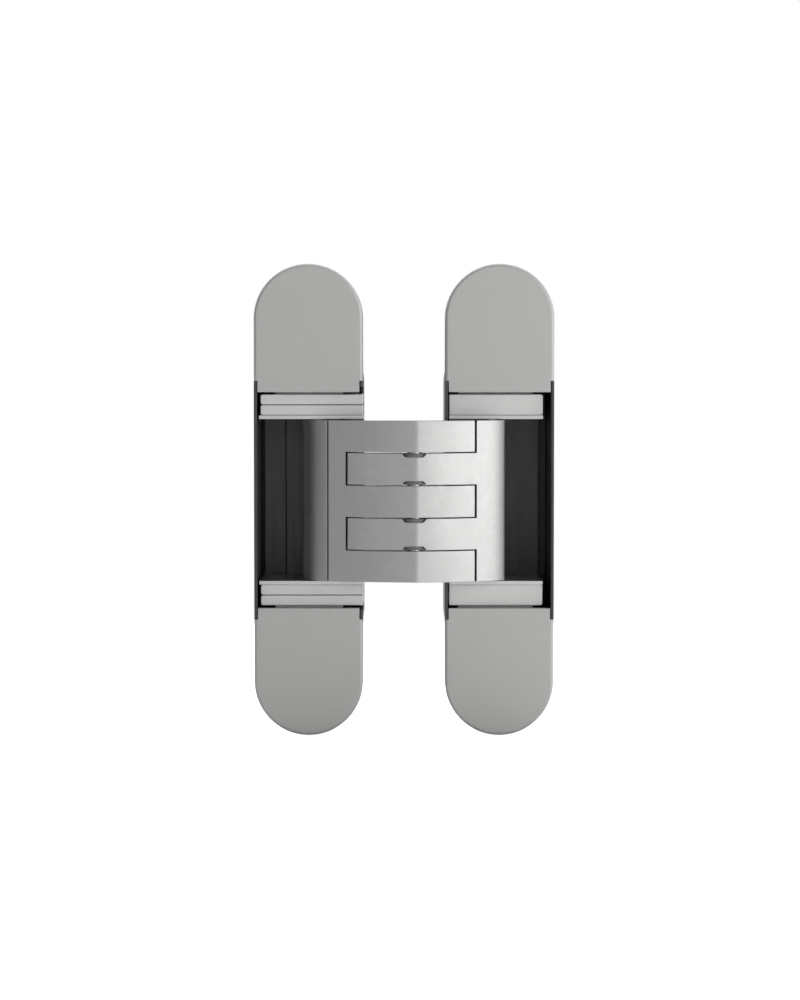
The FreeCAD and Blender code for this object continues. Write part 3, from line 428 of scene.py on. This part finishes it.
def screw_rows_tree():
    """Rows of one screw, each turned a little differently about its own axis."""
    tree = bpy.data.node_groups.new("screw_rows", "GeometryNodeTree")
    for name, kind in (
        ("Screw", "NodeSocketObject"), ("Finish", "NodeSocketMaterial"),
        ("Start", "NodeSocketVector"),
        ("Columns", "NodeSocketInt"), ("Across", "NodeSocketFloat"),
        ("Rows", "NodeSocketInt"), ("Up", "NodeSocketFloat"),
    ):
        tree.interface.new_socket(name, in_out="INPUT", socket_type=kind)
    tree.interface.new_socket("Geometry", in_out="OUTPUT", socket_type="NodeSocketGeometry")
    given = tree.nodes.new("NodeGroupInput").outputs
    across = add_node(tree, "ShaderNodeCombineXYZ", X=given["Across"]).outputs[0]
    up = add_node(tree, "ShaderNodeCombineXYZ", Z=given["Up"]).outputs[0]
    row = add_node(
        tree, "GeometryNodeMeshLine",
        Count=given["Columns"], Start_Location=given["Start"], Offset=across,
    )
    column = add_node(tree, "GeometryNodeMeshLine", Count=given["Rows"], Offset=up)
    grid = add_node(
        tree, "GeometryNodeInstanceOnPoints",
        Points=column.outputs[0], Instance=row.outputs[0],
    )
    places = add_node(tree, "GeometryNodeRealizeInstances", Geometry=grid.outputs[0])
    turn = tree.nodes.new("FunctionNodeRandomValue")
    turn.data_type = "FLOAT_VECTOR"
    turn.inputs[0].default_value = (0, 0, 0)
    turn.inputs[1].default_value = (0, SCREW_TURN, 0)
    turn.inputs["Seed"].default_value = SCREW_SEED
    screw = add_node(tree, "GeometryNodeObjectInfo", Object=given["Screw"])
    rows = add_node(
        tree, "GeometryNodeInstanceOnPoints",
        Points=places.outputs[0], Instance=screw.outputs["Geometry"], Rotation=turn.outputs[0],
    )
    whole = add_node(tree, "GeometryNodeRealizeInstances", Geometry=rows.outputs[0])
    coated = add_node(
        tree, "GeometryNodeSetMaterial",
        Geometry=whole.outputs[0], Material=given["Finish"],
    )
    out = tree.nodes.new("NodeGroupOutput")
    tree.links.new(coated.outputs[0], out.inputs[0])
    return tree


def screws(node, kind, columns, rows, tree):
    """The threaded screws in place of a CAD node, spread over that node's box."""
    places = [vertex.co for vertex in frame["nodes"][node].data.vertices]
    low = Vector([min(place[axis] for place in places) for axis in range(3)])
    high = Vector([max(place[axis] for place in places) for axis in range(3)])
    head = HEAD_RADIUS[kind]
    screw = bpy.data.objects.new(kind + "_screw", screw_mesh(kind, high.y - low.y))
    host = bpy.data.objects.new(node + "_rows", bpy.data.meshes.new(node + "_rows"))
    bpy.context.scene.collection.objects.link(host)
    modifier = host.modifiers.new("rows", "NODES")
    modifier.node_group = tree
    values = {
        "Screw": screw, "Finish": FINISHES[SLOT_OF[node]],
        "Start": low + Vector((head, 0, head)),
        "Columns": columns, "Across": high.x - low.x - 2 * head,
        "Rows": rows, "Up": high.z - low.z - 2 * head,
    }
    for item in tree.interface.items_tree:
        if item.in_out == "INPUT":
            modifier[item.identifier] = values[item.name]
    piece = baked(host, node + "_realized")
    bpy.data.objects.remove(screw)
    return settle(shaded(piece, node + "_piece"), node)


SCREWS = {                      # kind, columns and rows
    "frame_clamp_screws": ("clamp", 2, 2), "door_clamp_screws": ("clamp", 2, 2),
    "side_screw_top": ("side", 1, 1), "side_screw_bottom": ("side", 1, 1),
}
screw_rows = screw_rows_tree()
for node in sorted(frame["nodes"]):
    if node in SCREWS:
        kind, columns, rows = SCREWS[node]
        screws(node, kind, columns, rows, screw_rows)
    else:
        softened(node, EDGE_ROUNDS[SLOT_OF[node]])


# Studio


FACE_CENTRE_X = 26.3 * MM       # halfway between the two bodies
PIXELS_PER_MM = 3.633           # in the photograph, at the hinge's face
CENTRE_PIXEL = (404.0, 500.5)   # where the hinge's middle lies in it
CAMERA_DISTANCE = 0.8
CAMERA_RISE = math.radians(3.0)
SENSOR_MM = 36.0
IMAGE = (800, 1000)


def aim(thing, target):
    thing.rotation_euler = (target - thing.location).to_track_quat("-Z", "Y").to_euler()


def make_camera():
    scene = bpy.context.scene
    data = bpy.data.cameras.new("camera")
    camera = bpy.data.objects.new("camera", data)
    scene.collection.objects.link(camera)
    target = Vector((
        FACE_CENTRE_X + (IMAGE[0] / 2 - CENTRE_PIXEL[0]) / PIXELS_PER_MM * MM,
        0,
        (CENTRE_PIXEL[1] - IMAGE[1] / 2) / PIXELS_PER_MM * MM,
    ))
    back = Vector((0, -math.cos(CAMERA_RISE), math.sin(CAMERA_RISE)))
    camera.location = target + back * CAMERA_DISTANCE
    aim(camera, target)
    data.sensor_width = SENSOR_MM
    data.lens = SENSOR_MM * CAMERA_DISTANCE / (IMAGE[1] / PIXELS_PER_MM * MM)
    data.clip_start = 0.01
    data.clip_end = 50
    scene.camera = camera


def math_node(tree, operation, first, second):
    node = tree.nodes.new("ShaderNodeMath")
    node.operation = operation
    tree.links.new(first, node.inputs[0])
    tree.links.new(second, node.inputs[1])
    return node.outputs["Value"]


def ramp(tree, value, start, end, low=0.0, high=1.0):
    """Soft step of a value from low at start to high at end."""
    span = tree.nodes.new("ShaderNodeMapRange")
    span.interpolation_type = "SMOOTHSTEP"
    span.inputs["From Min"].default_value = start
    span.inputs["From Max"].default_value = end
    span.inputs["To Min"].default_value = low
    span.inputs["To Max"].default_value = high
    tree.links.new(value, span.inputs["Value"])
    return span.outputs["Result"]


def white_ray(tree, behind):
    """1 for the rays that meet the white background: the camera's, and reflected or transmitted
    ones that go on behind the hinge."""
    path = tree.nodes.new("ShaderNodeLightPath").outputs
    passed_on = math_node(tree, "MAXIMUM", path["Is Glossy Ray"], path["Is Transmission Ray"])
    passed_on = math_node(tree, "MULTIPLY", passed_on, behind)
    return math_node(tree, "MAXIMUM", path["Is Camera Ray"], passed_on)


FLOOR_GAP = 1.7 * MM            # clears the door body at its lowest height adjustment
FLOOR_RADIUS = 0.35
FLOOR_EDGES = 96
FLOOR_PAINTED_SHADE_LEFT = 0.45               # painted light: the floor's colour is darker on the left and lighter to the right, toward the key lamp
FLOOR_PAINTED_LIGHT_RIGHT = 0.95
FLOOR_PAINTED_LIGHT_SPAN = (-0.1, 0.2)       # where the painted light rises, in X
HINGE_DEPTH = cad_high.y        # the floor turns white over this depth
STUDIO_LEFT = 0.25              # brightness of the studio's sides and of its middle
STUDIO_MIDDLE = 0.8
STUDIO_RIGHT = 1.0
STUDIO_CEILING = 0.1            # share of it that is left overhead
LEFT_WALL = (-0.9, -0.3)        # parts of the directions' X, X, Z and Y in which it changes
RIGHT_WALL = (-0.1, 0.6)
CEILING = (0.1, 0.7)
BACKDROP = (0.0, 0.3)
KEY_PLACE = (1.55, -1.3, 0.1)   # the lamps: place, size and radiance
KEY_SIZE = 2.2
KEY_RADIANCE = 1.5
TOP_PLACE = (FACE_CENTRE_X, 0.3, 1.6)
TOP_TARGET = (FACE_CENTRE_X, -0.1, 0)
TOP_SIZE = 1.0
TOP_RADIANCE = 12.0


def floor_with_painted_light():
    """Grey floor with painted light, its colour lighter to the right toward the key lamp; white to
    the rays that white_ray picks.
    """
    material = bpy.data.materials.new("floor_painted_light")
    material.use_nodes = True
    tree = material.node_tree
    tree.nodes.clear()
    output = tree.nodes.new("ShaderNodeOutputMaterial")
    diffuse = tree.nodes.new("ShaderNodeBsdfDiffuse")
    glow = tree.nodes.new("ShaderNodeEmission")
    place = tree.nodes.new("ShaderNodeSeparateXYZ")
    tree.links.new(tree.nodes.new("ShaderNodeNewGeometry").outputs["Position"], place.inputs[0])
    # painted light: the floor's colour runs from darker on the left to lighter on the right,
    # standing in for the light from the right
    painted_floor_light = ramp(tree, place.outputs["X"], *FLOOR_PAINTED_LIGHT_SPAN, FLOOR_PAINTED_SHADE_LEFT, FLOOR_PAINTED_LIGHT_RIGHT)
    tree.links.new(painted_floor_light, diffuse.inputs["Color"])
    behind = ramp(tree, place.outputs["Y"], 0.0, HINGE_DEPTH)
    tree.links.new(white_ray(tree, behind), glow.inputs["Strength"])
    both = tree.nodes.new("ShaderNodeAddShader")
    tree.links.new(diffuse.outputs["BSDF"], both.inputs[0])
    tree.links.new(glow.outputs["Emission"], both.inputs[1])
    tree.links.new(both.outputs["Shader"], output.inputs["Surface"])
    return material


def make_floor():
    mesh = bpy.data.meshes.new("floor")
    disc = bmesh.new()
    bmesh.ops.create_circle(disc, cap_ends=True, segments=FLOOR_EDGES, radius=FLOOR_RADIUS)
    bmesh.ops.translate(disc, verts=disc.verts, vec=(FACE_CENTRE_X, 0, cad_low.z - FLOOR_GAP))
    disc.to_mesh(mesh)
    disc.free()
    floor = bpy.data.objects.new("floor", mesh)
    bpy.context.scene.collection.objects.link(floor)
    mesh.materials.append(floor_with_painted_light())


def make_world():
    """Grey studio that brightens to the right, dark overhead, with a white backdrop behind."""
    world = bpy.data.worlds.new("studio")
    bpy.context.scene.world = world
    world.use_nodes = True
    tree = world.node_tree
    tree.nodes.clear()
    output = tree.nodes.new("ShaderNodeOutputWorld")
    back = tree.nodes.new("ShaderNodeBackground")
    mix = tree.nodes.new("ShaderNodeMix")
    mix.data_type = "RGBA"
    direction = tree.nodes.new("ShaderNodeSeparateXYZ")
    place = tree.nodes.new("ShaderNodeTexCoord")
    tree.links.new(place.outputs["Generated"], direction.inputs[0])
    x, y, z = (direction.outputs[axis] for axis in "XYZ")
    left = ramp(tree, x, *LEFT_WALL, STUDIO_LEFT, STUDIO_MIDDLE)
    right = ramp(tree, x, *RIGHT_WALL, 0.0, STUDIO_RIGHT - STUDIO_MIDDLE)
    sides = math_node(tree, "ADD", left, right)
    overhead = ramp(tree, z, *CEILING, 1.0, STUDIO_CEILING)
    tree.links.new(math_node(tree, "MULTIPLY", sides, overhead), mix.inputs["A"])
    mix.inputs["B"].default_value = (1, 1, 1, 1)
    tree.links.new(white_ray(tree, ramp(tree, y, *BACKDROP)), mix.inputs["Factor"])
    tree.links.new(mix.outputs["Result"], back.inputs["Color"])
    tree.links.new(back.outputs["Background"], output.inputs["Surface"])


def softbox(name, place, target, size, radiance):
    """Square lamp whose face shines with that radiance."""
    data = bpy.data.lights.new(name, "AREA")
    data.shape = "SQUARE"
    data.size = size
    data.energy = radiance * math.pi * size * size
    lamp = bpy.data.objects.new(name, data)
    bpy.context.scene.collection.objects.link(lamp)
    lamp.location = place
    aim(lamp, Vector(target))
    return lamp


make_camera()
make_floor()
make_world()
softbox("key_right", KEY_PLACE, (FACE_CENTRE_X, 0, 0), KEY_SIZE, KEY_RADIANCE)
top_lamp = softbox("overhead", TOP_PLACE, TOP_TARGET, TOP_SIZE, TOP_RADIANCE)
top_lamp.visible_glossy = False     # it lights the floor and leaves the ceiling dark in the metal

scene = bpy.context.scene
scene.view_settings.view_transform = "Standard"
